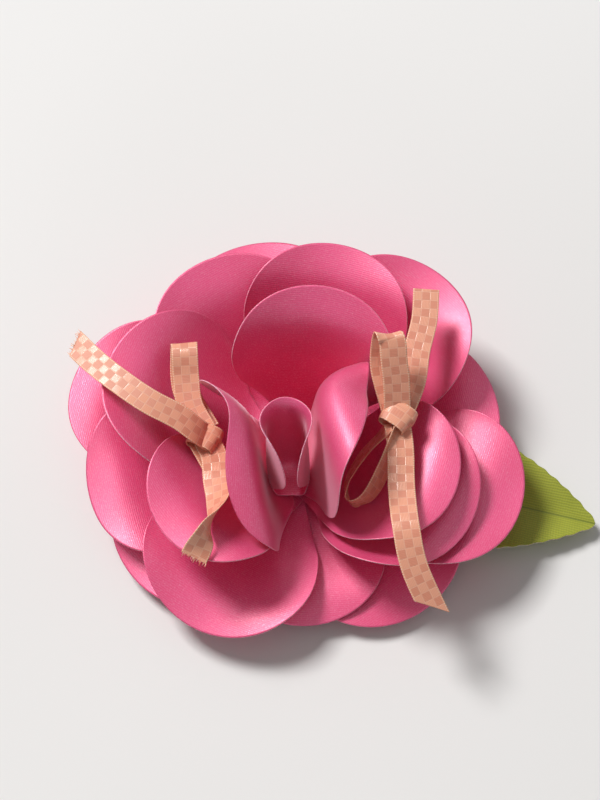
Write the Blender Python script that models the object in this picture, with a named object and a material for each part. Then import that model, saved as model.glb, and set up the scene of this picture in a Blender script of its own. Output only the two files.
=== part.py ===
"""A large paper flower lying face up: card petals, one leaf and two ribbon bows on a round base card."""

import math

import bmesh
import bpy
import numpy as np
from mathutils import Matrix
from mathutils.bvhtree import BVHTree

MM = 0.001

# Card and base
CARD = 0.35
BASE_RADIUS = 29.0
BASE_THICKNESS = 1.2
BASE_SEGMENTS = 36

# A petal as cut, flat, in millimetres
PETAL_LENGTH = 76.0
PETAL_WIDTH = 70.0
PETAL_CROWN = 0.86
FOOT_HALF = 7.0
TAB = 9.0
ROWS = (0.0, 0.1, 0.17, 0.27, 0.41, 0.56, 0.7, 0.82, 0.92, 1.0)
COLUMNS = 10

# The rods that the card is rolled over, and where along a petal its side rolls lie
ROLL_RADIUS = 11.0
FOOT_RADIUS = 5.0
SIDE_ROLL = 0.6

# The cup starts this far along a petal, and is full after that much more
CUP_START = 0.1
CUP_RUN = 0.35
FLAT_CUP = 1e-7

# A petal swings aside from this share of its tab on
SWING_START = 0.5

# The leaf
LEAF_LENGTH = 90.0
LEAF_HALF = 23.0
LEAF_TIP_HALF = 0.5
LEAF_SKEW = 0.8
LEAF_FULLNESS = 0.85
LEAF_FOLD = 13.0
LEAF_TOOTH = 0.9
LEAF_COLUMNS = 6
LEAF_ROWS = 34
LEAF_PLACE = dict(azimuth=345.0, foot=29.0, aside=1.0, tilt=2.0)

# Each tab is glued on the ones below it
FIRST_LEVEL = 1.9
LEVEL_STEP = 0.7

# The petals, from the outermost to the innermost. The azimuth runs from +X towards +Y. The foot is how
# far from the centre a petal leaves the base, and the level how many tabs lie below its own. Angles are in
# degrees and lengths in millimetres:
#   roll: angle, how far in from the tip, skew, then the rod's radius and the further angle in the middle
#   left, right: angle, how far in from that side, skew, the rod's radius
#   fold: angle, how far from the middle line on both sides, the rod's radius
#   swing: how far the petal is turned aside over its tab
PETALS = {
    "outer_petal_front_left": dict(azimuth=221, foot=17, level=0, tilt=8, cup=40, roll=(20, 18, 0)),
    "outer_petal_left_back": dict(azimuth=165, foot=28, level=0, tilt=18, cup=50, roll=(20, 18, 0)),
    "outer_petal_front_right": dict(azimuth=306, foot=16, level=1, tilt=5, cup=20, roll=(10, 18, 0)),
    "outer_petal_right": dict(azimuth=10, foot=16, level=0, tilt=20, cup=50, roll=(20, 18, 0)),
    "outer_petal_back": dict(azimuth=104, foot=23, level=0, tilt=22, cup=40, roll=(20, 18, 0)),
    "outer_petal_left": dict(azimuth=197, foot=20, level=1, tilt=16, cup=60, roll=(30, 18, 0)),
    "outer_petal_front": dict(azimuth=272, foot=14, level=2, tilt=6, cup=30, roll=(20, 18, 0),
                              length=70, width=66),
    "second_petal_front_left": dict(azimuth=243, foot=20, level=3, tilt=12, cup=40, roll=(20, 18, 0)),
    "second_petal_right": dict(azimuth=338, foot=27, level=3, tilt=20, cup=50, roll=(20, 18, 0)),
    "second_petal_back_right": dict(azimuth=46, foot=27, level=3, tilt=38, cup=60, roll=(30, 18, 0)),
    "second_petal_back_left": dict(azimuth=122, foot=20, level=3, tilt=38, cup=60, roll=(20, 18, 0)),
    "third_petal_left": dict(azimuth=165, foot=21, level=4, tilt=40, cup=60, roll=(30, 18, 0)),
    "third_petal_back": dict(azimuth=75, foot=21, level=4, tilt=46, cup=70, roll=(30, 18, 0)),
    "third_petal_right": dict(azimuth=325, foot=16, level=4, tilt=28, cup=60, roll=(40, 18, 0)),
    "inner_petal_back": dict(azimuth=81, foot=21, level=5, tilt=68, cup=90, roll=(35, 18, 0), centre=(2, -8),
                             length=73, width=71, crown=0.76),
    "inner_petal_left": dict(azimuth=220, foot=7, level=6, tilt=38, cup=50, roll=(40, 18, 0),
                             centre=(0, -8), width=64),
    "inner_petal_right": dict(azimuth=339, foot=6, level=7, tilt=36, cup=50, roll=(40, 18, 0),
                              centre=(0, -8), width=64),
    "folded_petal_left": dict(azimuth=187, foot=7, level=8, tilt=85, cup=0, roll=(100, 15.5, -15, 6, 0),
                              centre=(-1, -6), swing=-16, right=(56, 30, 0, 14), length=70, width=83,
                              crown=0.7),
    "folded_petal_right": dict(azimuth=12, foot=5, level=9, tilt=85, cup=0, roll=(80, 24, -14, 8, 30),
                               centre=(-6, -7), left=(70, 36, 0, 15), length=80, width=78),
    "rolled_petal_centre": dict(azimuth=96, foot=3, level=10, tilt=80, cup=0, roll=(70, 8, 0, 5, 0),
                                centre=(-3.4, -16.5), fold=(112, 2.5, 6.5), length=60, width=66, crown=0.6),
}

# The ribbon, and the way each strip of it runs: points in millimetres, each with the direction of its
# width. A slant is by what share of a strip its end leaves one edge shorter than the other
RIBBON = 0.35
RIBBON_HALF = 5.0
KNOT_SIZE = (6.5, 4.8, 3.8)
KNOT_SEGMENTS = 10
KNOT_RINGS = 6
PATH_STEPS = 40
BESIDE = 0.01
LEFT_BOW = dict(
    knot=(-35, -8, 34),
    knot_turn=-25,
    slants=dict(tail_up=0.07),
    strips=dict(
        tail_up=[(-32, -9, 34, (3, 9, 0)), (-37, -8, 40, (3, 9, 0)), (-44, -4, 44, (4, 9, 0)),
                 (-55, 1, 47, (5, 9, 0)), (-66, 9, 47, (6, 9, 0)), (-76, 18, 45, (7, 8, 1)),
                 (-86, 29, 42, (8, 7, 2))],
        loop_up=[(-35, -6, 35, (9, -2, 0)), (-40.5, 4, 37, (9, -1, 0)), (-42, 14, 40, (9, 0, 0)),
                 (-42.5, 22, 44, (9, 1, 0)), (-43, 27, 43, (9, 1, 0)), (-43.5, 25, 39, (9, 1, 0)),
                 (-42.5, 12, 33, (9, 0, 0)), (-34, -4, 32, (9, -2, 0))],
        tail_down=[(-34, -9, 34, (9, 2, 0)), (-31, -16, 34, (9, 1, -1)), (-30, -25, 35, (9, -1, 1)),
                   (-29, -33, 38, (8, -2, 5)), (-30, -42, 42, (2, -4, 9)), (-33, -51, 45, (-5, 1, 7)),
                   (-37, -58, 41, (-8, 5, 2))],
        loop_down=[(-35, -9, 32, (8, 1, -3)), (-30, -14, 29, (8, 1, -3)), (-28, -20, 28, (8, 0, -3)),
                   (-29, -26, 29.5, (8, -1, -3)), (-30.5, -20, 31.5, (8, 0, -3)), (-36, -10, 33, (8, 1, -3))],
    ),
)
RIGHT_BOW = dict(
    knot=(37, -4, 44),
    knot_turn=-35,
    slants=dict(tail_down=0.12),
    strips=dict(
        loop_up=[(37, -2, 46, (9, 1, 0)), (36.5, 6, 53, (9, 1, 0)), (35.5, 12, 58, (9, 1, 0)),
                 (35, 17, 61.5, (9, 0, 0)), (34, 20, 62.5, (9, 0, 0)), (32.5, 21, 60, (9, 0, 0)),
                 (32, 13, 51, (9, 0, 0)), (36, -1, 44, (9, 0, 0))],
        tail_up=[(38, -3, 44, (9, -3, 0)), (43, 10, 45, (9, -3, 0)), (45, 22, 47, (9, -2, 0)),
                 (48, 34, 49, (9, -1, 0)), (49, 46, 51, (9, -1, 0))],
        tail_down=[(37, -6, 43, (9, 0, 0)), (38, -16, 42, (9, 0, 0)), (38, -32, 42, (9, 1, 0)),
                   (39, -48, 45, (9, 2, 0)), (42, -62, 41, (9, 3, 0)), (50, -78, 33, (9, 4, 0))],
        loop_down=[(35, -6, 43, (4, -1, 8)), (31, -9, 38, (4, -1, 8)), (24, -15, 32, (4, -1, 8)),
                   (19, -24, 30, (2, -2, 9)), (20, -33, 32, (-2, -2, 9)), (26, -32, 35, (-4, -1, 8)),
                   (32, -22, 38, (-4, 0, 8)), (37, -7, 42, (-1, 0, 9))],
    ),
)

# Easing the card apart: how far sheets lie from each other, how far they look for each other, and how
# much of each push they take
EASE_STEPS = 30
EASE_SHARE = 0.6
CLEAR = 1.15
REACH = 7.0
FACING_REACH = 3.0
EDGE_ON = 0.15
SIDE_SHARE = 0.5
SIDE_LEAST = 0.3

# What stays under the card: the base, and the ground past it
BASE_MARGIN = 2.0
OVER_BASE = 0.5
OVER_GROUND = 0.4


def bend(points, at, direction, radius, limit, up=True):
    """All past a line is rolled round a rod of that radius, through up to limit degrees."""
    across = math.radians(direction)
    dx, dy = math.sin(across), math.cos(across)
    rise = 1.0 if up else -1.0
    height = points[:, 2] * rise
    along = (points[:, 0] - at[0]) * dx + (points[:, 1] - at[1]) * dy
    past = np.clip(along, 0, None)
    turn = np.minimum(past / radius, np.radians(limit))
    rest = past - radius * turn
    new_along = (radius - height) * np.sin(turn) + rest * np.cos(turn)
    new_height = radius - (radius - height) * np.cos(turn) + rest * np.sin(turn)
    rolled = along > 0
    shift = np.where(rolled, new_along - along, 0)
    bent = points.copy()
    bent[:, 0] += shift * dx
    bent[:, 1] += shift * dy
    bent[:, 2] = np.where(rolled, new_height, height) * rise
    return bent


def ramp(value):
    """A smooth step from 0 to 1."""
    value = np.clip(value, 0, 1)
    return value * value * (3 - 2 * value)


def turned(first, second, angle):
    """Two coordinates turned through an angle in radians."""
    cos, sin = np.cos(angle), np.sin(angle)
    return first * cos + second * sin, -first * sin + second * cos


def flat_petal(across, along, length, width, crown):
    """A fan of card: straight sides from the foot run into a round rim, its crown high or flat."""
    half = width / 2
    middle = length - half * crown
    foot_x, foot_y = FOOT_HALF, -middle / crown
    shoulder = math.atan2(foot_y, foot_x) + math.acos(half / math.hypot(foot_x, foot_y))
    angle = math.pi / 2 - across * (math.pi / 2 - shoulder)
    rim_x = half * np.cos(angle)
    rim_y = middle + half * crown * np.sin(angle)
    row = np.interp(along, np.linspace(0, 1, len(ROWS)), ROWS)
    x = (1 - row) * FOOT_HALF * across + row * rim_x
    y = row * rim_y
    return np.stack([x, y, np.zeros_like(x)], 1)


def cupped(points, cup, length, width):
    """The sides come up round the long axis, from nothing at the foot to the full cup."""
    bent = math.radians(cup) / width * ramp((points[:, 1] / length - CUP_START) / CUP_RUN)
    bent = np.maximum(bent, FLAT_CUP)
    x, z = points[:, 0], points[:, 2]
    angle = x * bent
    radius = 1 / bent - z
    return np.stack([radius * np.sin(angle), points[:, 1], 1 / bent - radius * np.cos(angle)], 1)


def shaped_petal(across, along, azimuth, foot, level, tilt, cup, roll, centre=(0, 0), swing=0,
                 left=None, right=None, fold=None, length=PETAL_LENGTH, width=PETAL_WIDTH,
                 crown=PETAL_CROWN):
    """The petal cut, rolled over rods, cupped, bent up at its tab and set on the base."""
    points = flat_petal(across, along, length, width, crown)
    degrees, inset, skew, radius, more = roll if len(roll) == 5 else (*roll, ROLL_RADIUS, 0)
    degrees = degrees + more * np.clip(1 - (2 * points[:, 0] / width) ** 2, 0, 1)
    points = bend(points, (0, length - inset), skew, radius, degrees, up=False)
    if left:
        degrees, inset, skew, radius = left
        points = bend(points, (inset - width / 2, length * SIDE_ROLL), skew - 90, radius, degrees, up=False)
    if right:
        degrees, inset, skew, radius = right
        points = bend(points, (width / 2 - inset, length * SIDE_ROLL), skew + 90, radius, degrees, up=False)
    if fold:
        degrees, from_middle, radius = fold
        points = bend(points, (from_middle, 0), 90, radius, degrees)
        points = bend(points, (-from_middle, 0), -90, radius, degrees)
    points = cupped(points, cup, length, width)
    x, y, z = points.T
    x, y = turned(x, y - TAB, math.radians(swing) * ramp(y / TAB - SWING_START))
    points = np.stack([x, y + TAB, z], 1)
    points = bend(points, (0, TAB), 0, FOOT_RADIUS, tilt)
    turn = math.radians(azimuth)
    out = points[:, 1] + foot - TAB
    x = points[:, 0] * math.sin(turn) + out * math.cos(turn) + centre[0]
    y = -points[:, 0] * math.cos(turn) + out * math.sin(turn) + centre[1]
    return np.stack([x, y, points[:, 2] + FIRST_LEVEL + LEVEL_STEP * level], 1)


def shaped_leaf(across, along, azimuth, foot, aside, tilt):
    """A pointed leaf with a toothed edge, folded along its midrib into a shallow valley."""
    half = LEAF_HALF * np.sin(math.pi * along ** LEAF_SKEW) ** LEAF_FULLNESS
    row = np.rint(along * LEAF_ROWS)
    at_edge = np.isclose(np.abs(across), 1)
    tooth = np.where((row % 2 == 1) & at_edge, LEAF_TOOTH, 0)
    x = across * (np.maximum(half, LEAF_TIP_HALF) + tooth)
    y = along * LEAF_LENGTH + tooth
    z = np.abs(x) * math.tan(math.radians(LEAF_FOLD)) + y * math.tan(math.radians(tilt)) + FIRST_LEVEL
    turn = math.radians(azimuth)
    out = y + foot
    x = x + aside
    on_x = x * math.sin(turn) + out * math.cos(turn)
    on_y = -x * math.cos(turn) + out * math.sin(turn)
    return np.stack([on_x, on_y, z], 1)


def grid_mesh(columns, rows):
    """A grid, with where each of its points lies across it, from -1 to 1, and along it, from 0 to 1."""
    mesh = bmesh.new()
    bmesh.ops.create_grid(mesh, x_segments=columns, y_segments=rows, size=1)
    mesh.verts.ensure_lookup_table()
    places = np.array([vertex.co[:2] for vertex in mesh.verts])
    return mesh, places[:, 0], (places[:, 1] + 1) / 2


def smooth_path(points, places):
    """A smooth curve through the points, read at even steps of its length."""
    points = np.array(points, float)
    ends = np.vstack([2 * points[0] - points[1], points, 2 * points[-1] - points[-2]])
    steps = np.linspace(0, len(points) - 1, PATH_STEPS * len(points))
    first = np.minimum(steps.astype(int), len(points) - 2)
    part = (steps - first)[:, None]
    before, start, stop, after = (ends[first + shift] for shift in range(4))
    path = 0.5 * (2 * start + (stop - before) * part
                  + (2 * before - 5 * start + 4 * stop - after) * part ** 2
                  + (3 * start - before - 3 * stop + after) * part ** 3)
    length = np.concatenate([[0], np.cumsum(np.linalg.norm(np.diff(path[:, :3], axis=0), axis=1))])
    return np.stack([np.interp(places * length[-1], length, column) for column in path.T], 1)


def strip_points(across, along, controls):
    """A strip of ribbon along its path, as wide as it is wherever it turns."""
    path = smooth_path([(*place[:3], *place[3]) for place in controls], along)
    ahead = smooth_path([(*place[:3], *place[3]) for place in controls], np.clip(along + BESIDE, 0, 1))
    behind = smooth_path([(*place[:3], *place[3]) for place in controls], np.clip(along - BESIDE, 0, 1))
    run = ahead[:, :3] - behind[:, :3]
    run /= np.linalg.norm(run, axis=1)[:, None]
    width = path[:, 3:] - (path[:, 3:] * run).sum(axis=1)[:, None] * run
    width /= np.linalg.norm(width, axis=1)[:, None]
    return path[:, :3] + width * across[:, None] * RIBBON_HALF


class Sheet:
    """A sheet of card in millimetres, while it is shaped and eased."""

    def __init__(self, name, mesh, points):
        self.name = name
        self.mesh = mesh
        self.points = points
        self.faces = np.array([[vertex.index for vertex in face.verts] for face in mesh.faces])
        edges = np.array([[vertex.index for vertex in edge.verts] for edge in mesh.edges])
        self.ends = np.vstack([edges, edges[:, ::-1]])
        self.count = np.bincount(self.ends[:, 0], minlength=len(points))

    def face_normals(self):
        a, b, c, d = (self.points[self.faces[:, corner]] for corner in range(4))
        normals = np.cross(c - a, d - b)
        return normals / np.linalg.norm(normals, axis=1)[:, None]

    def samples(self):
        """Its points and the middles of its faces, with a normal at each."""
        of_faces = self.face_normals()
        of_points = np.zeros_like(self.points)
        for corner in range(4):
            np.add.at(of_points, self.faces[:, corner], of_faces)
        of_points /= np.linalg.norm(of_points, axis=1)[:, None]
        middles = self.points[self.faces].mean(axis=1)
        return np.vstack([self.points, middles]), np.vstack([of_points, of_faces])

    def spread(self, moves):
        """Each point takes on part of its neighbours' moves, so that the card stays fair."""
        near = np.zeros_like(moves)
        np.add.at(near, self.ends[:, 0], moves[self.ends[:, 1]])
        return (moves + near / self.count[:, None]) / 2


def pushes(places, normals, other, tree, inside):
    """How far each sample has to move to lie clear of another sheet, on its inner or its outer face."""
    low, high = other.points.min(axis=0) - REACH, other.points.max(axis=0) + REACH
    moves = np.zeros_like(places)
    for index in np.flatnonzero(((places > low) & (places < high)).all(axis=1)):
        found, normal, _, distance = tree.find_nearest(places[index], REACH)
        if found is None:
            continue
        alike = np.dot(normal, normals[index])
        if abs(alike) < EDGE_ON or (alike < 0 and distance > FACING_REACH):
            continue
        side = inside if alike > 0 else 1
        gap = np.dot(places[index] - found, normal) * side
        beside = math.sqrt(max(distance * distance - gap * gap, 0))
        if gap >= CLEAR or beside > SIDE_SHARE * abs(gap) + SIDE_LEAST:
            continue
        moves[index] = (CLEAR - gap) * side * np.array(normal)
    return moves


def ease_apart(sheets):
    """Card that crosses is eased apart: each sheet ends up inside the ones before it."""
    for _ in range(EASE_STEPS):
        trees = [BVHTree.FromPolygons(sheet.points.tolist(), sheet.faces.tolist()) for sheet in sheets]
        moved = []
        for own, sheet in enumerate(sheets):
            places, normals = sheet.samples()
            most = np.zeros_like(places)
            for rank, other in enumerate(sheets):
                if rank == own:
                    continue
                moves = pushes(places, normals, other, trees[rank], 1 if own > rank else -1)
                larger = np.linalg.norm(moves, axis=1) > np.linalg.norm(most, axis=1)
                most[larger] = moves[larger]
            count = len(sheet.points)
            total = most[:count].copy()
            for corner in range(4):
                of_faces = most[count:]
                corners = sheet.faces[:, corner]
                larger = np.linalg.norm(of_faces, axis=1) > np.linalg.norm(total[corners], axis=1)
                total[corners[larger]] = of_faces[larger]
            moved.append(sheet.spread(sheet.spread(total)) * EASE_SHARE)
        for sheet, moves in zip(sheets, moved):
            sheet.points = sheet.points + moves
            on_base = np.hypot(sheet.points[:, 0], sheet.points[:, 1]) < BASE_RADIUS + BASE_MARGIN
            floor = np.where(on_base, BASE_THICKNESS + OVER_BASE, OVER_GROUND)
            sheet.points[:, 2] = np.maximum(sheet.points[:, 2], floor)


def card_object(sheet, material, thickness):
    for vertex, place in zip(sheet.mesh.verts, sheet.points):
        vertex.co = place * MM
    data = bpy.data.meshes.new(sheet.name)
    sheet.mesh.to_mesh(data)
    sheet.mesh.free()
    data.materials.append(material)
    item = bpy.data.objects.new(sheet.name, data)
    bpy.context.collection.objects.link(item)
    solid = item.modifiers.new("card", "SOLIDIFY")
    solid.thickness = thickness * MM
    solid.offset = 0
    return item


def ribbon_strip(name, controls, slant, material):
    """One strip of a bow. A slanted cut leaves one of its edges shorter by that share of it."""
    segments = 2 * len(controls)
    mesh, across, along = grid_mesh(1, segments)
    along = along * (1 - slant * (1 - across) / 2)
    return card_object(Sheet(name, mesh, strip_points(across, along, controls)), material, RIBBON)


def knot_shape(name, centre, turn, material):
    """The bound middle of a bow, a soft lump."""
    mesh = bmesh.new()
    bmesh.ops.create_uvsphere(mesh, u_segments=KNOT_SEGMENTS, v_segments=KNOT_RINGS, radius=1)
    bmesh.ops.scale(mesh, verts=mesh.verts, vec=[size * MM for size in KNOT_SIZE])
    bmesh.ops.rotate(mesh, verts=mesh.verts, matrix=Matrix.Rotation(math.radians(turn), 3, "Z"))
    bmesh.ops.translate(mesh, verts=mesh.verts, vec=[value * MM for value in centre])
    data = bpy.data.meshes.new(name)
    mesh.to_mesh(data)
    mesh.free()
    data.materials.append(material)
    item = bpy.data.objects.new(name, data)
    bpy.context.collection.objects.link(item)
    return item


def build_bow(name, bow, material):
    """All the strips of a bow are one piece with its knot."""
    whole = knot_shape(name, bow["knot"], bow["knot_turn"], material)
    for part, controls in bow["strips"].items():
        strip = ribbon_strip(f"{name}_{part}", controls, bow["slants"].get(part, 0), material)
        strip.hide_render = True
        strip.display_type = "WIRE"
        join = whole.modifiers.new(part, "BOOLEAN")
        join.operation = "UNION"
        join.solver = "EXACT"
        join.object = strip


def plain_material(name, colour, roughness):
    material = bpy.data.materials.new(name)
    material.use_nodes = True
    shader = material.node_tree.nodes["Principled BSDF"]
    shader.inputs["Base Color"].default_value = (*colour, 1)
    shader.inputs["Roughness"].default_value = roughness
    shader.inputs["Metallic"].default_value = 0
    return material


def build_base(material):
    mesh = bmesh.new()
    bmesh.ops.create_cone(mesh, cap_ends=True, segments=BASE_SEGMENTS, radius1=BASE_RADIUS * MM,
                          radius2=BASE_RADIUS * MM, depth=BASE_THICKNESS * MM)
    bmesh.ops.translate(mesh, verts=mesh.verts, vec=(0, 0, BASE_THICKNESS * MM / 2))
    data = bpy.data.meshes.new("base_card")
    mesh.to_mesh(data)
    mesh.free()
    data.materials.append(material)
    item = bpy.data.objects.new("base_card", data)
    bpy.context.collection.objects.link(item)


def build_sheets():
    mesh, across, along = grid_mesh(LEAF_COLUMNS, LEAF_ROWS)
    sheets = [Sheet("leaf", mesh, shaped_leaf(across, along, **LEAF_PLACE))]
    for name, sizes in PETALS.items():
        mesh, across, along = grid_mesh(COLUMNS, len(ROWS) - 1)
        sheets.append(Sheet(name, mesh, shaped_petal(across, along, **sizes)))
    ease_apart(sheets)
    return sheets


for old in list(bpy.data.objects):
    bpy.data.objects.remove(old)

pink_card = plain_material("pearl_pink_card", (0.78, 0.17, 0.28), 0.45)
base_card = plain_material("base_card", (0.55, 0.12, 0.2), 0.7)
build_base(base_card)
green_card = plain_material("leaf_green_card", (0.22, 0.24, 0.04), 0.6)
for sheet in build_sheets():
    card_object(sheet, green_card if sheet.name == "leaf" else pink_card, CARD)
ribbon = plain_material("peach_satin_ribbon", (0.62, 0.27, 0.2), 0.35)
build_bow("ribbon_bow_left", LEFT_BOW, ribbon)
build_bow("ribbon_bow_right", RIGHT_BOW, ribbon)
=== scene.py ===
"""The looks of the paper flower: pearl card petals, a linen card leaf and two checked satin ribbon bows."""

import math

import bmesh
import bpy
import numpy as np
from mathutils import Matrix, Vector
from mathutils.bvhtree import BVHTree


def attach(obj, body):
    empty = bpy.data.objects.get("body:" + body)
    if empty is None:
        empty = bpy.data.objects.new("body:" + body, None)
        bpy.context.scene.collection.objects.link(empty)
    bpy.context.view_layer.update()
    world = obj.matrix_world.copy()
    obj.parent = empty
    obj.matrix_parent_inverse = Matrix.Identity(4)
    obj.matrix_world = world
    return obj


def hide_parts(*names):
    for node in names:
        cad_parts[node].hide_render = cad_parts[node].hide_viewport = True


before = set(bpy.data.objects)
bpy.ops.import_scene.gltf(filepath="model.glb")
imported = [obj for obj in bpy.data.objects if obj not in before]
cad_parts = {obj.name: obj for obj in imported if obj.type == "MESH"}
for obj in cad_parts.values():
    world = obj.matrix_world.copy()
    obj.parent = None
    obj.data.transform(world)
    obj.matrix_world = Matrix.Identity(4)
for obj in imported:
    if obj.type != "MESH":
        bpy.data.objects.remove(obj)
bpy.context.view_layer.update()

MM = 0.001

# The camera: the middle of the picture, and the way it looks down at the flower
AIM = (0.001, 0.0117, 0.025)
LOOK_DOWN = 65.0
DISTANCE = 0.6
LENS = 70.0
NEAREST = 0.01

# Card and base
CARD = 0.35
BASE_RADIUS = 29.0
BASE_THICKNESS = 1.2

# A petal as cut, flat, in millimetres, the grid that it is shaped on, and how often that is halved
PETAL_LENGTH = 76.0
PETAL_WIDTH = 70.0
PETAL_CROWN = 0.86
FOOT_HALF = 7.0
TAB = 9.0
ROWS = (0.0, 0.1, 0.17, 0.27, 0.41, 0.56, 0.7, 0.82, 0.92, 1.0)
COLUMNS = 10
FINER = 3

# The rods that the card is rolled over, and where along a petal its side rolls lie
ROLL_RADIUS = 11.0
FOOT_RADIUS = 5.0
SIDE_ROLL = 0.6

# The cup starts this far along a petal, and is full after that much more
CUP_START = 0.1
CUP_RUN = 0.35
FLAT_CUP = 1e-7

# A petal swings aside from this share of its tab on
SWING_START = 0.5

# The leaf: its outline, the fold along its midrib, its teeth, its grid and its place
LEAF_LENGTH = 90.0
LEAF_HALF = 23.0
LEAF_TIP_HALF = 0.5
LEAF_SKEW = 0.8
LEAF_FULLNESS = 0.85
LEAF_FOLD = 13.0
LEAF_TOOTH = 0.9
LEAF_COLUMNS = 6
LEAF_ROWS = 34
LEAF_PLACE = dict(azimuth=345.0, foot=29.0, aside=1.0, tilt=2.0)

# Each tab is glued on the ones below it
FIRST_LEVEL = 1.9
LEVEL_STEP = 0.7

# The petals, from the outermost to the innermost. The azimuth runs from +X towards +Y. The foot is how
# far from the centre a petal leaves the base, and the level how many tabs lie below its own. Angles are in
# degrees and lengths in millimetres:
#   roll: angle, how far in from the tip, skew, then the rod's radius and the further angle in the middle
#   left, right: angle, how far in from that side, skew, the rod's radius
#   fold: angle, how far from the middle line on both sides, the rod's radius
#   swing: how far the petal is turned aside over its tab
PETALS = {
    "outer_petal_front_left": dict(azimuth=221, foot=17, level=0, tilt=8, cup=40, roll=(20, 18, 0)),
    "outer_petal_left_back": dict(azimuth=165, foot=28, level=0, tilt=18, cup=50, roll=(20, 18, 0)),
    "outer_petal_front_right": dict(azimuth=306, foot=16, level=1, tilt=5, cup=20, roll=(10, 18, 0)),
    "outer_petal_right": dict(azimuth=10, foot=16, level=0, tilt=20, cup=50, roll=(20, 18, 0)),
    "outer_petal_back": dict(azimuth=104, foot=23, level=0, tilt=22, cup=40, roll=(20, 18, 0)),
    "outer_petal_left": dict(azimuth=197, foot=20, level=1, tilt=16, cup=60, roll=(30, 18, 0)),
    "outer_petal_front": dict(azimuth=272, foot=14, level=2, tilt=6, cup=30, roll=(20, 18, 0),
                              length=70, width=66),
    "second_petal_front_left": dict(azimuth=243, foot=20, level=3, tilt=12, cup=40, roll=(20, 18, 0)),
    "second_petal_right": dict(azimuth=338, foot=27, level=3, tilt=20, cup=50, roll=(20, 18, 0)),
    "second_petal_back_right": dict(azimuth=46, foot=27, level=3, tilt=38, cup=60, roll=(30, 18, 0)),
    "second_petal_back_left": dict(azimuth=122, foot=20, level=3, tilt=38, cup=60, roll=(20, 18, 0)),
    "third_petal_left": dict(azimuth=165, foot=21, level=4, tilt=40, cup=60, roll=(30, 18, 0)),
    "third_petal_back": dict(azimuth=75, foot=21, level=4, tilt=46, cup=70, roll=(30, 18, 0)),
    "third_petal_right": dict(azimuth=325, foot=16, level=4, tilt=28, cup=60, roll=(40, 18, 0)),
    "inner_petal_back": dict(azimuth=81, foot=21, level=5, tilt=68, cup=90, roll=(35, 18, 0), centre=(2, -8),
                             length=73, width=71, crown=0.76),
    "inner_petal_left": dict(azimuth=220, foot=7, level=6, tilt=38, cup=50, roll=(40, 18, 0),
                             centre=(0, -8), width=64),
    "inner_petal_right": dict(azimuth=339, foot=6, level=7, tilt=36, cup=50, roll=(40, 18, 0),
                              centre=(0, -8), width=64),
    "folded_petal_left": dict(azimuth=187, foot=7, level=8, tilt=85, cup=0, roll=(100, 15.5, -15, 6, 0),
                              centre=(-1, -6), swing=-16, right=(56, 30, 0, 14), length=70, width=83,
                              crown=0.7),
    "folded_petal_right": dict(azimuth=12, foot=5, level=9, tilt=85, cup=0, roll=(80, 24, -14, 8, 30),
                               centre=(-6, -7), left=(70, 36, 0, 15), length=80, width=78),
    "rolled_petal_centre": dict(azimuth=96, foot=3, level=10, tilt=80, cup=0, roll=(70, 8, 0, 5, 0),
                                centre=(-3.4, -16.5), fold=(112, 2.5, 6.5), length=60, width=66, crown=0.6),
}

# Easing the card apart: how far sheets lie from each other, how far they look for each other, and how
# much of each push they take
EASE_STEPS = 30
EASE_SHARE = 0.6
CLEAR = 1.15
REACH = 7.0
FACING_REACH = 3.0
EDGE_ON = 0.15
SIDE_SHARE = 0.5
SIDE_LEAST = 0.3

# What stays under the card: the base, and the ground past it
BASE_MARGIN = 2.0
OVER_BASE = 0.5
OVER_GROUND = 0.4

# The ribbon, half the size of a knot, and the way each strip runs: points in millimetres, each with the
# direction of its width. A slant is by what share of a strip its end leaves one edge shorter than the
# other, and frays names the strips whose ends have come loose
RIBBON = 0.35
RIBBON_HALF = 5.0
KNOT_SIZE = (6.5, 4.8, 3.8)
PATH_STEPS = 40
BESIDE = 0.01
LEFT_BOW = dict(
    knot=(-35, -8, 34),
    knot_turn=-25,
    slants=dict(tail_up=0.07),
    frays=("tail_up", "tail_down"),
    strips=dict(
        tail_up=[(-32, -9, 34, (3, 9, 0)), (-37, -8, 40, (3, 9, 0)), (-44, -4, 44, (4, 9, 0)),
                 (-55, 1, 47, (5, 9, 0)), (-66, 9, 47, (6, 9, 0)), (-76, 18, 45, (7, 8, 1)),
                 (-86, 29, 42, (8, 7, 2))],
        loop_up=[(-35, -6, 35, (9, -2, 0)), (-40.5, 4, 37, (9, -1, 0)), (-42, 14, 40, (9, 0, 0)),
                 (-42.5, 22, 44, (9, 1, 0)), (-43, 27, 43, (9, 1, 0)), (-43.5, 25, 39, (9, 1, 0)),
                 (-42.5, 12, 33, (9, 0, 0)), (-34, -4, 32, (9, -2, 0))],
        tail_down=[(-34, -9, 34, (9, 2, 0)), (-31, -16, 34, (9, 1, -1)), (-30, -25, 35, (9, -1, 1)),
                   (-29, -33, 38, (8, -2, 5)), (-30, -42, 42, (2, -4, 9)), (-33, -51, 45, (-5, 1, 7)),
                   (-37, -58, 41, (-8, 5, 2))],
        loop_down=[(-35, -9, 32, (8, 1, -3)), (-30, -14, 29, (8, 1, -3)), (-28, -20, 28, (8, 0, -3)),
                   (-29, -26, 29.5, (8, -1, -3)), (-30.5, -20, 31.5, (8, 0, -3)), (-36, -10, 33, (8, 1, -3))],
    ),
)
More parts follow.
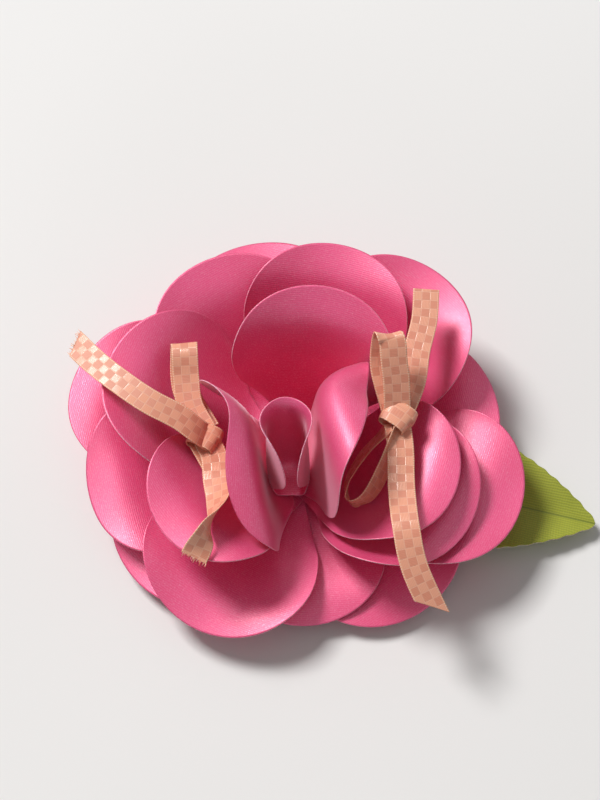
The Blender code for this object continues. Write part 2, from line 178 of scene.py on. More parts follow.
RIGHT_BOW = dict(
    knot=(37, -4, 44),
    knot_turn=-35,
    slants=dict(tail_down=0.12),
    frays=(),
    strips=dict(
        loop_up=[(37, -2, 46, (9, 1, 0)), (36.5, 6, 53, (9, 1, 0)), (35.5, 12, 58, (9, 1, 0)),
                 (35, 17, 61.5, (9, 0, 0)), (34, 20, 62.5, (9, 0, 0)), (32.5, 21, 60, (9, 0, 0)),
                 (32, 13, 51, (9, 0, 0)), (36, -1, 44, (9, 0, 0))],
        tail_up=[(38, -3, 44, (9, -3, 0)), (43, 10, 45, (9, -3, 0)), (45, 22, 47, (9, -2, 0)),
                 (48, 34, 49, (9, -1, 0)), (49, 46, 51, (9, -1, 0))],
        tail_down=[(37, -6, 43, (9, 0, 0)), (38, -16, 42, (9, 0, 0)), (38, -32, 42, (9, 1, 0)),
                   (39, -48, 45, (9, 2, 0)), (42, -62, 41, (9, 3, 0)), (50, -78, 33, (9, 4, 0))],
        loop_down=[(35, -6, 43, (4, -1, 8)), (31, -9, 38, (4, -1, 8)), (24, -15, 32, (4, -1, 8)),
                   (19, -24, 30, (2, -2, 9)), (20, -33, 32, (-2, -2, 9)), (26, -32, 35, (-4, -1, 8)),
                   (32, -22, 38, (-4, 0, 8)), (37, -7, 42, (-1, 0, 9))],
    ),
)

# The finer ribbon: columns across it, and the spacing and reach of the loops of its edge, in millimetres
RIBBON_COLUMNS = 8
STITCH = 0.9
PICOT = 0.12

# The wrap of a knot: its grid, how square its turns are, how far its edges pull in, and the lap where
# one turn lies over the other: how much it stands up, how fast, and how far it wanders
KNOT_COLUMNS = 24
KNOT_ROWS = 48
KNOT_SQUARE = 0.7
KNOT_PINCH = 0.1
KNOT_LAP = 0.12
KNOT_LAP_RUN = 0.15
KNOT_WANDER = 0.5
KNOT_GIRTH = 33.0

# Threads that have come loose at the ends of the left bow: how many, over how much of the width, how long
# they stand out, how far they lean, how deep they start and half their width, in millimetres
FRAY_SEED = 5
FRAY_THREADS = 26
FRAY_ACROSS = 0.96
FRAY_LONG = (0.4, 1.9)
FRAY_LEAN = 0.45
FRAY_ROOT = 0.4
THREAD_HALF = 0.1

# What counts as on the leaf's midrib, and as one point where a wrap closes, in millimetres
CREASE_NEAR = 0.01
SAME_POINT = 0.01

# Sockets of a Mix node that mixes colours, and how a Wave node's scale becomes a spacing
MIX_SHARE, MIX_FIRST, MIX_SECOND, MIX_RESULT = 0, 6, 7, 2
WAVE_LENGTH = math.pi / 10

# Most of a noise lies between these two values
NOISE_RANGE = (0.3, 0.7)

# Pearl card: its colours, with the painted highlight of its pressed lines and the painted glint of its
# flakes, the sizes of its clouds, grain, pressed lines and flakes of mica, and its coat.
# A relief is how far a pattern stands up, and how strongly that shades
CARD_ROSE = "#e8457f"
CARD_DEEP = "#da316c"
CARD_PALE_GRAIN_AND_HIGHLIGHT = "#f593b6"
CARD_EDGE = "#e07f9d"
CARD_CORE = "#f0c4d0"
FLAKE_PAINTED_GLINT = "#ffd0dc"
CARD_CLOUD = 40 * MM
CARD_GRAIN = 0.6 * MM
CARD_LINES = 0.8 * MM
FLAKE = 0.28 * MM
CARD_RELIEF = (0.045 * MM, 0.7)
PEARL_COAT = {"Metallic": 0.22, "Coat Weight": 0.8, "Coat Roughness": 0.4, "Sheen Weight": 0.55,
              "Sheen Roughness": 0.4}
PEARL_GLARE = "#ffe2ee"

# Which values of the grain show its pale colour, which values of the pressed lines show it as a painted
# highlight, and which flakes show a painted glint, and by what share. A flake is smooth, and the card round
# it rougher
GRAIN_RANGE, GRAIN_SHARE = (0.45, 0.75), 0.22
LINE_HIGHLIGHT_RANGE, LINE_HIGHLIGHT_SHARE = (0.3, 0.9), 0.14
PAINTED_GLINT_RANGE, PAINTED_GLINT_SHARE = (0.6, 0.95), 0.16
SMOOTH_RANGE, CARD_ROUGH, FLAKE_SMOOTH = (0.7, 0.95), 0.46, 0.3
LINE_WANDER = 1.5

# Linen card: its colours, with the painted shade of its furrows and of the crease along its midrib, the
# spacing of its ribs, how much the ribs across it count beside those along it, and the crease of the midrib
LEAF_GREEN = "#a6ab30"
LEAF_DEEP = "#959a20"
LEAF_FURROW_SHADE = "#66721a"
LEAF_EDGE = "#c3cf86"
LINEN_RIBS = 0.95 * MM
LINEN_WANDER = 1.0
LINEN_RELIEF = (0.1 * MM, 0.9)
LEAF_CLOUD = 25 * MM
RIBS_ACROSS = 0.3
FURROW_SHADE_RANGE, FURROW_SHADE_SHARE = (0.15, 0.75), 0.4
MIDRIB_SHADE_RANGE, MIDRIB_SHADE_SHARE = (0.2 * MM, 0.7 * MM), 0.7

# Base card
BASE_ROSE = "#a83a5a"
BASE_DEEP = "#93304c"
BASE_RELIEF = (0.03 * MM, 0.6)

# Satin ribbon: its colours, with a painted sheen on the glossy checks and painted shade in the furrows
# between threads, the side of a woven check, the spacing of its threads, where its stitched edge ends, and
# half the width of a seam between checks.
SATIN_PAINTED_GLEAM = "#f4aa8a"
SATIN_DULL_CHECK_TONE = "#e29377"
SATIN_FURROW_SHADE = "#b9705a"
SATIN_PALE = "#f8cdb0"
SATIN_SHEEN = "#ffe6d2"
SELVEDGE = "#f2a47e"
CHECK = 3.33 * MM
THREAD = 0.55 * MM
EDGE_RANGE = (0.35 * MM, 0.6 * MM)
SEAM = 0.3 * MM
SATIN_RELIEF = (0.05 * MM, 0.6)
THREAD_SHADE_SHARE = 0.18
SEAM_SHARE = 0.35
GLOSSY_CHECK, DULL_CHECK = 0.27, 0.48

# The room: the strength of its light and of the backdrop that is seen, the lamp, and the floor, which
# runs out into the backdrop between these distances from the flower
ROOM_LIGHT = 0.24
BACKDROP = 0.9
LAMP_SIZE = 1.2
LAMP_POWER = 152.0
LAMP_PLACE = (-1.9, 1.7, 3.1)
FLOOR_RADIUS = 4.0
FLOOR_SIDES = 64
FLOOR_PALE = "#f0eeec"
FLOOR_DEEP = "#eceae8"
FLOOR_CLOUD = 1 / 3
FADE_FROM = 0.16
FADE_TO = 0.55


def bend(points, at, direction, radius, limit, up=True):
    """All past a line is rolled round a rod of that radius, through up to limit degrees."""
    across = math.radians(direction)
    dx, dy = math.sin(across), math.cos(across)
    rise = 1.0 if up else -1.0
    height = points[:, 2] * rise
    along = (points[:, 0] - at[0]) * dx + (points[:, 1] - at[1]) * dy
    past = np.clip(along, 0, None)
    turn = np.minimum(past / radius, np.radians(limit))
    rest = past - radius * turn
    new_along = (radius - height) * np.sin(turn) + rest * np.cos(turn)
    new_height = radius - (radius - height) * np.cos(turn) + rest * np.sin(turn)
    rolled = along > 0
    shift = np.where(rolled, new_along - along, 0)
    bent = points.copy()
    bent[:, 0] += shift * dx
    bent[:, 1] += shift * dy
    bent[:, 2] = np.where(rolled, new_height, height) * rise
    return bent


def ramp(value):
    """A smooth step from 0 to 1."""
    value = np.clip(value, 0, 1)
    return value * value * (3 - 2 * value)


def turned(first, second, angle):
    """Two coordinates turned through an angle in radians."""
    cos, sin = np.cos(angle), np.sin(angle)
    return first * cos + second * sin, -first * sin + second * cos


def flat_petal(across, along, length, width, crown):
    """A fan of card: straight sides from the foot run into a round rim, its crown high or flat."""
    half = width / 2
    middle = length - half * crown
    foot_x, foot_y = FOOT_HALF, -middle / crown
    shoulder = math.atan2(foot_y, foot_x) + math.acos(half / math.hypot(foot_x, foot_y))
    angle = math.pi / 2 - across * (math.pi / 2 - shoulder)
    rim_x = half * np.cos(angle)
    rim_y = middle + half * crown * np.sin(angle)
    row = np.interp(along, np.linspace(0, 1, len(ROWS)), ROWS)
    x = (1 - row) * FOOT_HALF * across + row * rim_x
    y = row * rim_y
    return np.stack([x, y, np.zeros_like(x)], 1)


def cupped(points, cup, length, width):
    """The sides come up round the long axis, from nothing at the foot to the full cup."""
    bent = math.radians(cup) / width * ramp((points[:, 1] / length - CUP_START) / CUP_RUN)
    bent = np.maximum(bent, FLAT_CUP)
    x, z = points[:, 0], points[:, 2]
    angle = x * bent
    radius = 1 / bent - z
    return np.stack([radius * np.sin(angle), points[:, 1], 1 / bent - radius * np.cos(angle)], 1)


def shaped_petal(across, along, azimuth, foot, level, tilt, cup, roll, centre=(0, 0), swing=0,
                 left=None, right=None, fold=None, length=PETAL_LENGTH, width=PETAL_WIDTH,
                 crown=PETAL_CROWN):
    """The petal cut, rolled over rods, cupped, bent up at its tab and set on the base."""
    points = flat_petal(across, along, length, width, crown)
    degrees, inset, skew, radius, more = roll if len(roll) == 5 else (*roll, ROLL_RADIUS, 0)
    degrees = degrees + more * np.clip(1 - (2 * points[:, 0] / width) ** 2, 0, 1)
    points = bend(points, (0, length - inset), skew, radius, degrees, up=False)
    if left:
        degrees, inset, skew, radius = left
        points = bend(points, (inset - width / 2, length * SIDE_ROLL), skew - 90, radius, degrees, up=False)
    if right:
        degrees, inset, skew, radius = right
        points = bend(points, (width / 2 - inset, length * SIDE_ROLL), skew + 90, radius, degrees, up=False)
    if fold:
        degrees, from_middle, radius = fold
        points = bend(points, (from_middle, 0), 90, radius, degrees)
        points = bend(points, (-from_middle, 0), -90, radius, degrees)
    points = cupped(points, cup, length, width)
    x, y, z = points.T
    x, y = turned(x, y - TAB, math.radians(swing) * ramp(y / TAB - SWING_START))
    points = np.stack([x, y + TAB, z], 1)
    points = bend(points, (0, TAB), 0, FOOT_RADIUS, tilt)
    turn = math.radians(azimuth)
    out = points[:, 1] + foot - TAB
    x = points[:, 0] * math.sin(turn) + out * math.cos(turn) + centre[0]
    y = -points[:, 0] * math.cos(turn) + out * math.sin(turn) + centre[1]
    return np.stack([x, y, points[:, 2] + FIRST_LEVEL + LEVEL_STEP * level], 1)


def leaf_half(along):
    """Half the leaf's width along it."""
    return np.maximum(LEAF_HALF * np.sin(math.pi * along ** LEAF_SKEW) ** LEAF_FULLNESS, LEAF_TIP_HALF)


def shaped_leaf(across, along, azimuth, foot, aside, tilt):
    """A pointed leaf with a toothed edge, folded along its midrib into a shallow valley."""
    row = np.rint(along * LEAF_ROWS)
    at_edge = np.isclose(np.abs(across), 1)
    tooth = np.where((row % 2 == 1) & at_edge, LEAF_TOOTH, 0)
    x = across * (leaf_half(along) + tooth)
    y = along * LEAF_LENGTH + tooth
    z = np.abs(x) * math.tan(math.radians(LEAF_FOLD)) + y * math.tan(math.radians(tilt)) + FIRST_LEVEL
    turn = math.radians(azimuth)
    out = y + foot
    x = x + aside
    on_x = x * math.sin(turn) + out * math.cos(turn)
    on_y = -x * math.cos(turn) + out * math.sin(turn)
    return np.stack([on_x, on_y, z], 1)


def grid_mesh(columns, rows):
    """A grid, with where each of its points lies across it, from -1 to 1, and along it, from 0 to 1."""
    mesh = bmesh.new()
    bmesh.ops.create_grid(mesh, x_segments=columns, y_segments=rows, size=1)
    mesh.verts.ensure_lookup_table()
    places = np.array([vertex.co[:2] for vertex in mesh.verts])
    return mesh, places[:, 0], (places[:, 1] + 1) / 2


def smooth_path(points, places):
    """A smooth curve through the points, read at even steps of its length."""
    points = np.array(points, float)
    ends = np.vstack([2 * points[0] - points[1], points, 2 * points[-1] - points[-2]])
    steps = np.linspace(0, len(points) - 1, PATH_STEPS * len(points))
    first = np.minimum(steps.astype(int), len(points) - 2)
    part = (steps - first)[:, None]
    before, start, stop, after = (ends[first + shift] for shift in range(4))
    path = 0.5 * (2 * start + (stop - before) * part
                  + (2 * before - 5 * start + 4 * stop - after) * part ** 2
                  + (3 * start - before - 3 * stop + after) * part ** 3)
    length = np.concatenate([[0], np.cumsum(np.linalg.norm(np.diff(path[:, :3], axis=0), axis=1))])
    return np.stack([np.interp(places * length[-1], length, column) for column in path.T], 1)


def strip_points(across, along, controls):
    """A strip of ribbon along its path, as wide as it is wherever it turns."""
    path = smooth_path([(*place[:3], *place[3]) for place in controls], along)
    ahead = smooth_path([(*place[:3], *place[3]) for place in controls], np.clip(along + BESIDE, 0, 1))
    behind = smooth_path([(*place[:3], *place[3]) for place in controls], np.clip(along - BESIDE, 0, 1))
    run = ahead[:, :3] - behind[:, :3]
    run /= np.linalg.norm(run, axis=1)[:, None]
    width = path[:, 3:] - (path[:, 3:] * run).sum(axis=1)[:, None] * run
    width /= np.linalg.norm(width, axis=1)[:, None]
    return path[:, :3] + width * across[:, None] * RIBBON_HALF


class Sheet:
    """A sheet of card in millimetres, while it is shaped and eased."""

    def __init__(self, name, mesh, points):
        self.name = name
        self.mesh = mesh
        self.points = points
        self.faces = np.array([[vertex.index for vertex in face.verts] for face in mesh.faces])
        edges = np.array([[vertex.index for vertex in edge.verts] for edge in mesh.edges])
        self.ends = np.vstack([edges, edges[:, ::-1]])
        self.count = np.bincount(self.ends[:, 0], minlength=len(points))

    def face_normals(self):
        a, b, c, d = (self.points[self.faces[:, corner]] for corner in range(4))
        normals = np.cross(c - a, d - b)
        return normals / np.linalg.norm(normals, axis=1)[:, None]

    def samples(self):
        """Its points and the middles of its faces, with a normal at each."""
        of_faces = self.face_normals()
        of_points = np.zeros_like(self.points)
        for corner in range(4):
            np.add.at(of_points, self.faces[:, corner], of_faces)
        of_points /= np.linalg.norm(of_points, axis=1)[:, None]
        middles = self.points[self.faces].mean(axis=1)
        return np.vstack([self.points, middles]), np.vstack([of_points, of_faces])

    def spread(self, moves):
        """Each point takes on part of its neighbours' moves, so that the card stays fair."""
        near = np.zeros_like(moves)
        np.add.at(near, self.ends[:, 0], moves[self.ends[:, 1]])
        return (moves + near / self.count[:, None]) / 2


def pushes(places, normals, other, tree, inside):
    """How far each sample has to move to lie clear of another sheet, on its inner or its outer face."""
    low, high = other.points.min(axis=0) - REACH, other.points.max(axis=0) + REACH
    moves = np.zeros_like(places)
    for index in np.flatnonzero(((places > low) & (places < high)).all(axis=1)):
        found, normal, _, distance = tree.find_nearest(places[index], REACH)
        if found is None:
            continue
        alike = np.dot(normal, normals[index])
        if abs(alike) < EDGE_ON or (alike < 0 and distance > FACING_REACH):
            continue
        side = inside if alike > 0 else 1
        gap = np.dot(places[index] - found, normal) * side
        beside = math.sqrt(max(distance * distance - gap * gap, 0))
        if gap >= CLEAR or beside > SIDE_SHARE * abs(gap) + SIDE_LEAST:
            continue
        moves[index] = (CLEAR - gap) * side * np.array(normal)
    return moves


def ease_apart(sheets):
    """Card that crosses is eased apart: each sheet ends up inside the ones before it."""
    for _ in range(EASE_STEPS):
        trees = [BVHTree.FromPolygons(sheet.points.tolist(), sheet.faces.tolist()) for sheet in sheets]
        moved = []
        for own, sheet in enumerate(sheets):
            places, normals = sheet.samples()
            most = np.zeros_like(places)
            for rank, other in enumerate(sheets):
                if rank == own:
                    continue
                moves = pushes(places, normals, other, trees[rank], 1 if own > rank else -1)
                larger = np.linalg.norm(moves, axis=1) > np.linalg.norm(most, axis=1)
                most[larger] = moves[larger]
            count = len(sheet.points)
            total = most[:count].copy()
            for corner in range(4):
                of_faces = most[count:]
                corners = sheet.faces[:, corner]
                larger = np.linalg.norm(of_faces, axis=1) > np.linalg.norm(total[corners], axis=1)
                total[corners[larger]] = of_faces[larger]
            moved.append(sheet.spread(sheet.spread(total)) * EASE_SHARE)
        for sheet, moves in zip(sheets, moved):
            sheet.points = sheet.points + moves
            on_base = np.hypot(sheet.points[:, 0], sheet.points[:, 1]) < BASE_RADIUS + BASE_MARGIN
            floor = np.where(on_base, BASE_THICKNESS + OVER_BASE, OVER_GROUND)
            sheet.points[:, 2] = np.maximum(sheet.points[:, 2], floor)


def linear(hexadecimal):
    """An sRGB colour such as "#d8567f" as linear RGBA."""
    values = [int(hexadecimal[start:start + 2], 16) / 255 for start in (1, 3, 5)]
    return (*[value / 12.92 if value <= 0.04045 else ((value + 0.055) / 1.055) ** 2.4 for value in values], 1)


def fill(tree, made, inputs):
    """Sets a node's inputs to values, or links them to sockets."""
    for name, value in inputs.items():
        if isinstance(value, bpy.types.NodeSocket):
            tree.links.new(value, made.inputs[name])
        else:
            made.inputs[name].default_value = value


def node(tree, kind, inputs=None, **settings):
    """Adds a shader node with its settings and inputs."""
    made = tree.nodes.new(kind)
    for name, value in settings.items():
        setattr(made, name, value)
    fill(tree, made, inputs or {})
    return made


def new_material(name):
    """A material, its tree and its Principled shader."""
    made = bpy.data.materials.new(name)
    made.use_nodes = True
    return made, made.node_tree, made.node_tree.nodes["Principled BSDF"]


def flat_map(tree):
    """Where a point lay on the flat cut, in metres."""
    return node(tree, "ShaderNodeUVMap", uv_map="flat").outputs["UV"]


def worked(tree, operation, first, second=0.0):
    """The value that an operation gives."""
    return node(tree, "ShaderNodeMath", {0: first, 1: second}, operation=operation).outputs["Value"]


def mixed(tree, share, first, second):
    """One colour, or the other by a share."""
    inputs = {MIX_SHARE: share, MIX_FIRST: first, MIX_SECOND: second}
    return node(tree, "ShaderNodeMix", inputs, data_type="RGBA").outputs[MIX_RESULT]


def weighed(tree, share, first, second):
    """One value, or the other by a share."""
    inputs = {"Factor": share, "A": first, "B": second}
    return node(tree, "ShaderNodeMix", inputs, data_type="FLOAT").outputs["Result"]


def between(tree, value, low, high, start=0.0, stop=1.0):
    """A value from low to high spread smoothly over start to stop."""
    inputs = {"Value": value, "From Min": low, "From Max": high, "To Min": start, "To Max": stop}
    return node(tree, "ShaderNodeMapRange", inputs, interpolation_type="SMOOTHSTEP").outputs["Result"]


def noise(tree, place, size, detail, roughness=0.5):
    """Noise whose largest forms are about that many metres across."""
    inputs = {"Vector": place, "Scale": 1 / size, "Detail": detail, "Roughness": roughness}
    return node(tree, "ShaderNodeTexNoise", inputs).outputs["Fac"]


def clouded(tree, value, first, second):
    """Two colours that a noise runs into each other."""
    return mixed(tree, between(tree, value, *NOISE_RANGE), linear(first), linear(second))


def ribs(tree, flat, direction, spacing, wander=0.0):
    """Even ribs that far apart, from 0 in the furrows to 1 on top."""
    inputs = {"Vector": flat, "Scale": WAVE_LENGTH / spacing, "Distortion": wander, "Detail": 1.0,
              "Detail Scale": 2.0}
    made = node(tree, "ShaderNodeTexWave", inputs, wave_type="BANDS", bands_direction=direction)
    return made.outputs["Fac"]


def raised(tree, height, depth, strength):
    """The normal of a surface on which a height of that many metres stands."""
    inputs = {"Height": height, "Distance": depth, "Strength": strength}
    return node(tree, "ShaderNodeBump", inputs).outputs["Normal"]


def pearl_card():
    """Pearl-coated card: mica in the coat gives a soft pale glare, with a fine grain, a painted highlight on
    the tops of its pressed lines and painted glints on its flakes.
    """
    made, tree, shader = new_material("pearl_coated_card")
    flat = flat_map(tree)
    body = clouded(tree, noise(tree, flat, CARD_CLOUD, detail=2.0), CARD_DEEP, CARD_ROSE)
    grain = noise(tree, flat, CARD_GRAIN, detail=3.0, roughness=0.7)
    grained = mixed(tree, between(tree, grain, *GRAIN_RANGE, 0, GRAIN_SHARE), body, linear(CARD_PALE_GRAIN_AND_HIGHLIGHT))
    pressed = ribs(tree, flat, "Y", CARD_LINES, LINE_WANDER)
    # The tops of the pressed lines are painted paler: a painted highlight
    ridge_highlighted = mixed(tree, between(tree, pressed, *LINE_HIGHLIGHT_RANGE, 0, LINE_HIGHLIGHT_SHARE), grained, linear(CARD_PALE_GRAIN_AND_HIGHLIGHT))
    flakes = node(tree, "ShaderNodeTexVoronoi", {"Vector": flat, "Scale": 1 / FLAKE}).outputs["Color"]
    # Some flakes are painted pale pink in the base colour: a painted glint
    painted_glints = between(tree, flakes, *PAINTED_GLINT_RANGE, 0, PAINTED_GLINT_SHARE)
    fill(tree, shader, {"Base Color": mixed(tree, painted_glints, ridge_highlighted, linear(FLAKE_PAINTED_GLINT)),
                        "Roughness": between(tree, flakes, *SMOOTH_RANGE, CARD_ROUGH, FLAKE_SMOOTH),
                        "Normal": raised(tree, worked(tree, "ADD", pressed, grain), *CARD_RELIEF),
                        "Sheen Tint": linear(PEARL_GLARE), **PEARL_COAT})
    return made


def cut_edge(name, colour):
    """The cut edge of card, where the paler core shows as a fine fibrous line."""
    made, tree, shader = new_material(name)
    flat = flat_map(tree)
    fibre = noise(tree, flat, CARD_GRAIN, detail=2.0)
    fill(tree, shader, {"Base Color": clouded(tree, fibre, colour, CARD_CORE), "Roughness": 0.8})
    return made


def linen_card():
    """Green card with a linen press whose ribs stand up, with painted shade in its furrows and along the
    crease of its midrib.
    """
    made, tree, shader = new_material("linen_pressed_card")
    flat = flat_map(tree)
    ribs_along, ribs_across = (ribs(tree, flat, way, LINEN_RIBS, LINEN_WANDER) for way in ("X", "Y"))
    weave = weighed(tree, RIBS_ACROSS, ribs_along, ribs_across)
    body = clouded(tree, noise(tree, flat, LEAF_CLOUD, detail=3.0), LEAF_DEEP, LEAF_GREEN)
    # The furrows between the ribs are painted darker: painted shade
    furrow_shaded = mixed(tree, between(tree, weave, *FURROW_SHADE_RANGE, FURROW_SHADE_SHARE, 0), body, linear(LEAF_FURROW_SHADE))
    # A band along the midrib crease is painted darker: painted shade
    aside = worked(tree, "ABSOLUTE", node(tree, "ShaderNodeSeparateXYZ", {"Vector": flat}).outputs["X"])
    midrib = between(tree, aside, *MIDRIB_SHADE_RANGE, MIDRIB_SHADE_SHARE, 0)
    fill(tree, shader, {"Base Color": mixed(tree, midrib, furrow_shaded, linear(LEAF_FURROW_SHADE)),
                        "Normal": raised(tree, weave, *LINEN_RELIEF), "Roughness": 0.55,
                        "Sheen Weight": 0.1})
    return made


def base_finish():
    """Plain uncoated card, matt, with a faint fibre."""
    made, tree, shader = new_material("uncoated_base_card")
    place = node(tree, "ShaderNodeTexCoord").outputs["Object"]
    fibre = noise(tree, place, CARD_GRAIN, detail=4.0)
    fill(tree, shader, {"Base Color": clouded(tree, fibre, BASE_DEEP, BASE_ROSE),
                        "Normal": raised(tree, fibre, *BASE_RELIEF), "Roughness": 0.75})
    return made


def checked_satin():
    """Satin ribbon with woven checks: warp floats in one, weft floats in the next, so they gleam by turns,
    with a painted sheen on the glossy checks and painted shade in the thread furrows.
    """
    made, tree, shader = new_material("checked_satin_ribbon")
    flat = flat_map(tree)
    checks = node(tree, "ShaderNodeTexChecker", {"Vector": flat, "Scale": 1 / CHECK}).outputs["Fac"]
    place = node(tree, "ShaderNodeSeparateXYZ", {"Vector": flat}).outputs
    inner = between(tree, worked(tree, "PINGPONG", place["X"], RIBBON_HALF * MM), *EDGE_RANGE)
    seams = [worked(tree, "PINGPONG", place[axis], CHECK / 2) for axis in ("X", "Y")]
    open_check = between(tree, worked(tree, "MINIMUM", *seams), 0, SEAM)
    threads = weighed(tree, checks, ribs(tree, flat, "X", THREAD), ribs(tree, flat, "Y", THREAD))
    # The glossy checks are painted lighter than the dull ones: a painted sheen
    body = mixed(tree, checks, linear(SATIN_PAINTED_GLEAM), linear(SATIN_DULL_CHECK_TONE))
    # The furrows between the threads are painted darker: painted shade
    thread_shaded = mixed(tree, between(tree, threads, 0, 1, THREAD_SHADE_SHARE, 0), body, linear(SATIN_FURROW_SHADE))
    seamed = mixed(tree, between(tree, open_check, 0, 1, SEAM_SHARE, 0), thread_shaded, linear(SATIN_PALE))
    stitches = mixed(tree, ribs(tree, flat, "Y", STITCH * MM), linear(SELVEDGE), linear(SATIN_PALE))
    relief = raised(tree, worked(tree, "ADD", threads, open_check), *SATIN_RELIEF)
    fill(tree, shader, {"Base Color": mixed(tree, inner, stitches, seamed), "Normal": relief,
                        "Roughness": between(tree, checks, 0, 1, GLOSSY_CHECK, DULL_CHECK),
                        "Anisotropic": 0.4, "Specular IOR Level": 0.6, "Sheen Weight": 0.2,
                        "Sheen Roughness": 0.35, "Sheen Tint": linear(SATIN_SHEEN)})
    return made


def link_piece(name, mesh, materials):
    """The finished mesh as an object in the scene."""
    data = bpy.data.meshes.new(name)
    mesh.to_mesh(data)
    mesh.free()
    for material in materials:
        data.materials.append(material)
    data.shade_smooth()
    item = bpy.data.objects.new(name, data)
    bpy.context.scene.collection.objects.link(item)
    return item


def lay_flat_map(mesh, flat):
    """Where each point lay on the flat cut, in metres."""
    layer = mesh.loops.layers.uv.new("flat")
    for face in mesh.faces:
        for loop in face.loops:
            loop[layer].uv = flat[loop.vert.index] * MM


def thicken(item, thickness, edge_slot):
    """A sheet gets its thickness, half on each side, and its edge the material of the given slot."""
    solid = item.modifiers.new("thickness", "SOLIDIFY")
    solid.thickness = thickness * MM
    solid.offset = 0
    solid.material_offset_rim = edge_slot


def soften(item, levels):
    """The grid is halved that often along smooth curves."""
    finer = item.modifiers.new("finer", "SUBSURF")
    finer.levels = levels
    finer.render_levels = levels


def card_piece(sheet, flat, crease_middle, materials):
    """A sheet of card in its final form, smooth between the places that its folds hold."""
    for vertex, place in zip(sheet.mesh.verts, sheet.points):
        vertex.co = place * MM
    lay_flat_map(sheet.mesh, flat)
    if crease_middle:
        crease = sheet.mesh.edges.layers.float.new("crease_edge")
        for edge in sheet.mesh.edges:
            if all(abs(flat[vertex.index][0]) < CREASE_NEAR for vertex in edge.verts):
                edge[crease] = 1.0
    item = link_piece(f"{sheet.name}_card", sheet.mesh, materials)
    soften(item, FINER)
    thicken(item, CARD, 1)
    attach(item, "root")
    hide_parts(sheet.name)
    return item


def build_card():
    """The leaf and the petals, shaped as they were cut and rolled, then eased apart."""
    mesh, across, along = grid_mesh(LEAF_COLUMNS, LEAF_ROWS)
    sheets = [Sheet("leaf", mesh, shaped_leaf(across, along, **LEAF_PLACE))]
    flats = [np.stack([across * leaf_half(along), along * LEAF_LENGTH], 1)]
    for name, sizes in PETALS.items():
        mesh, across, along = grid_mesh(COLUMNS, len(ROWS) - 1)
        sheets.append(Sheet(name, mesh, shaped_petal(across, along, **sizes)))
        length, width = sizes.get("length", PETAL_LENGTH), sizes.get("width", PETAL_WIDTH)
        flats.append(flat_petal(across, along, length, width, sizes.get("crown", PETAL_CROWN))[:, :2])
    ease_apart(sheets)
    leaf_look = [linen_card(), cut_edge("leaf_card_edge", LEAF_EDGE)]
    petal_look = [pearl_card(), cut_edge("petal_card_edge", CARD_EDGE)]
    for sheet, flat in zip(sheets, flats):
        is_leaf = sheet.name == "leaf"
        item = card_piece(sheet, flat, is_leaf, leaf_look if is_leaf else petal_look)


def path_length(controls):
    """The length of a strip along its middle."""
    path = smooth_path([(*place[:3], *place[3]) for place in controls], np.linspace(0, 1, PATH_STEPS))
    return np.linalg.norm(np.diff(path[:, :3], axis=0), axis=1).sum()


def ribbon_strip(controls, slant):
    """One strip of ribbon, its edge looped and kept crisp by narrow outer columns, and its length."""
    length = path_length(controls)
    rows = 2 * round(length / STITCH)
    mesh, across, along = grid_mesh(RIBBON_COLUMNS, rows)
    across = across * (2 - np.abs(across))
    looped = (np.rint(along * rows) % 2 == 1) & np.isclose(np.abs(across), 1)
    loops = np.where(looped, PICOT / RIBBON_HALF, 0)
    along = along * (1 - slant * (1 - across) / 2)
    points = strip_points(across * (1 - PICOT / RIBBON_HALF + loops), along, controls)
    flat = np.stack([(across + 1) * RIBBON_HALF, along * length], 1)
    for vertex, place in zip(mesh.verts, points):
        vertex.co = place * MM
    lay_flat_map(mesh, flat)
    return mesh, length


def frayed_end(controls, slant, dice):
    """Loose threads that stand out of the cut end of a strip, in the colours of its stitched edge."""
    across = dice.uniform(-FRAY_ACROSS, FRAY_ACROSS, FRAY_THREADS)
    along = 1 - slant * (1 - across) / 2
    ends = strip_points(across, along, controls)
    run = ends - strip_points(across, along - BESIDE, controls)
    side = strip_points(across + BESIDE, along, controls) - ends
    run, side = (way / np.linalg.norm(way, axis=1)[:, None] for way in (run, side))
    lean, lift = dice.uniform(-FRAY_LEAN, FRAY_LEAN, (2, FRAY_THREADS, 1))
    long = dice.uniform(*FRAY_LONG, (FRAY_THREADS, 1))
    tips = ends + (run + side * lean + np.cross(run, side) * lift) * long
    roots = ends - run * FRAY_ROOT
    at_root, at_tip = side * THREAD_HALF, side * THREAD_HALF / 2
    corners = np.stack([roots - at_root, roots + at_root, tips + at_tip, tips - at_tip], 1)
    mesh = bmesh.new()
    for four in corners:
        mesh.faces.new([mesh.verts.new(place * MM) for place in four])
    mesh.verts.index_update()
    flat = np.stack([np.zeros(FRAY_THREADS), np.arange(FRAY_THREADS) * STITCH / 3], 1)
    lay_flat_map(mesh, np.repeat(flat, 4, axis=0))
    return mesh


